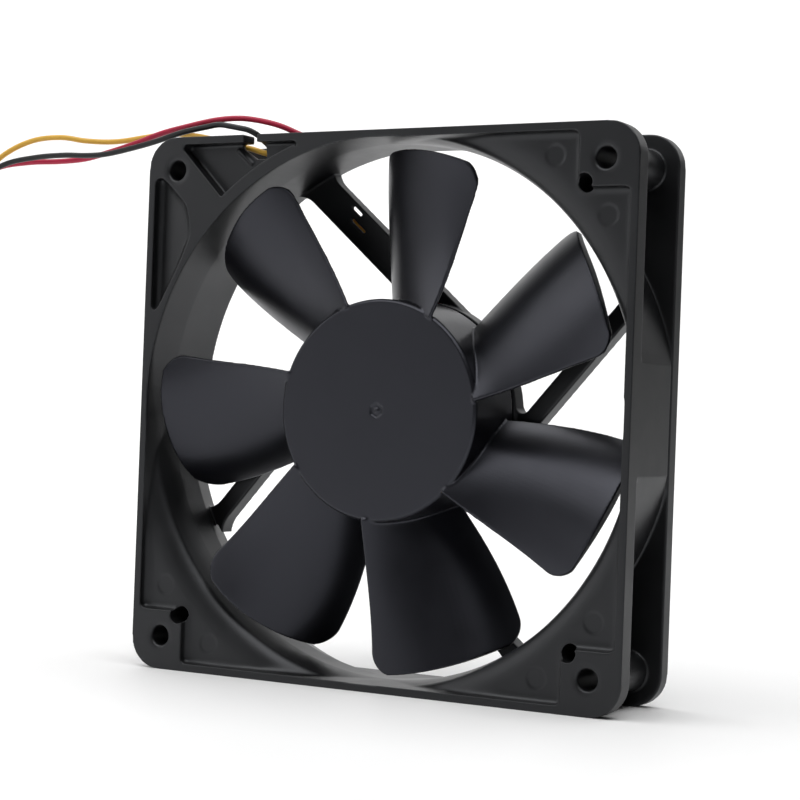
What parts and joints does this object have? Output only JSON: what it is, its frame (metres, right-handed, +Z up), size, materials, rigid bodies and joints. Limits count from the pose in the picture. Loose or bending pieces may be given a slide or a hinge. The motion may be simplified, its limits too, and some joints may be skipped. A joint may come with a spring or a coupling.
{
  "type": "case fan",
  "caption": "Square axial cooling fan with a bladed impeller on ball bearings, tangential struts, a bell-mouth inlet, corner screw holes and three leads.",
  "frame": {"origin": "centre of the frame's bottom edge, on the surface it stands on, halfway between intake and exhaust faces", "axes": "+Y along the fan axis from the intake face to the exhaust face, +Z up, +X to the right seen from the intake side"},
  "size_m": [0.2083, 0.0393, 0.126],
  "materials": {
    "frame_plastic": "satin moulded black thermoplastic",
    "impeller_plastic": "satin moulded black thermoplastic",
    "steel": "ground",
    "ferrite": "bonded ferrite",
    "brass": "turned",
    "lamination": "stacked silicon steel",
    "insulator": "moulded nylon",
    "copper": "enamelled copper wire",
    "board": "solder mask",
    "chip": "moulded epoxy",
    "ceramic_chip": "fired ceramic",
    "tin": "tin plate",
    "red_insulation": "PVC insulation",
    "black_insulation": "PVC insulation",
    "yellow_insulation": "PVC insulation",
    "nylon": "moulded nylon",
    "label": "plain film label"
  },
  "bodies": {
    "housing": {"fan_frame": "frame_plastic", "bearing_tube": "brass", "stator_core": "lamination", "front_insulator": "insulator", "rear_insulator": "insulator", "circuit_board": "board", "hall_sensor": "chip", "driver_chip": "chip", "capacitor": "ceramic_chip", "protection_diode": "chip", "sense_resistor": "chip", "rear_label": "label", "connector_housing": "nylon", "front_bearing_outer_race": "steel", "rear_bearing_outer_race": "steel", "winding_1": "copper", "winding_2": "copper", "winding_3": "copper", "winding_4": "copper", "winding_pin_1": "tin", "winding_pin_2": "tin", "winding_pin_3": "tin", "red_wire_in_strut": "red_insulation", "red_lead": "red_insulation", "red_crimp_terminal": "tin", "black_wire_in_strut": "black_insulation", "black_lead": "black_insulation", "black_crimp_terminal": "tin", "yellow_wire_in_strut": "yellow_insulation", "yellow_lead": "yellow_insulation", "yellow_crimp_terminal": "tin"},
    "rotor": {"impeller": "impeller_plastic", "rotor_yoke": "steel", "magnet_ring": "ferrite", "shaft_bushing": "brass", "shaft": "steel", "preload_spring": "steel", "thrust_washer": "steel", "retaining_clip": "steel", "front_bearing_inner_race": "steel", "rear_bearing_inner_race": "steel"},
    "front_ball_train": {"front_bearing_cage": "brass", "front_bearing_ball_1": "steel", "front_bearing_ball_2": "steel", "front_bearing_ball_3": "steel", "front_bearing_ball_4": "steel", "front_bearing_ball_5": "steel", "front_bearing_ball_6": "steel"},
    "rear_ball_train": {"rear_bearing_cage": "brass", "rear_bearing_ball_1": "steel", "rear_bearing_ball_2": "steel", "rear_bearing_ball_3": "steel", "rear_bearing_ball_4": "steel", "rear_bearing_ball_5": "steel", "rear_bearing_ball_6": "steel"}
  },
  "joints": [
    {"name": "impeller_spin", "type": "hinge", "parent": "housing", "child": "rotor", "pos_m": [0, 0, 0.06], "axis": [0, 1, 0], "continuous": true},
    {"name": "front_bearing_cage_spin", "type": "hinge", "parent": "housing", "child": "front_ball_train", "pos_m": [0, -0.0014, 0.06], "axis": [0, 1, 0], "continuous": true},
    {"name": "rear_bearing_cage_spin", "type": "hinge", "parent": "housing", "child": "rear_ball_train", "pos_m": [0, 0.0066, 0.06], "axis": [0, 1, 0], "continuous": true}
  ],
  "couplings": [
    {"joint": "front_bearing_cage_spin", "follows": "impeller_spin", "ratio": 0.356},
    {"joint": "rear_bearing_cage_spin", "follows": "impeller_spin", "ratio": 0.356}
  ]
}
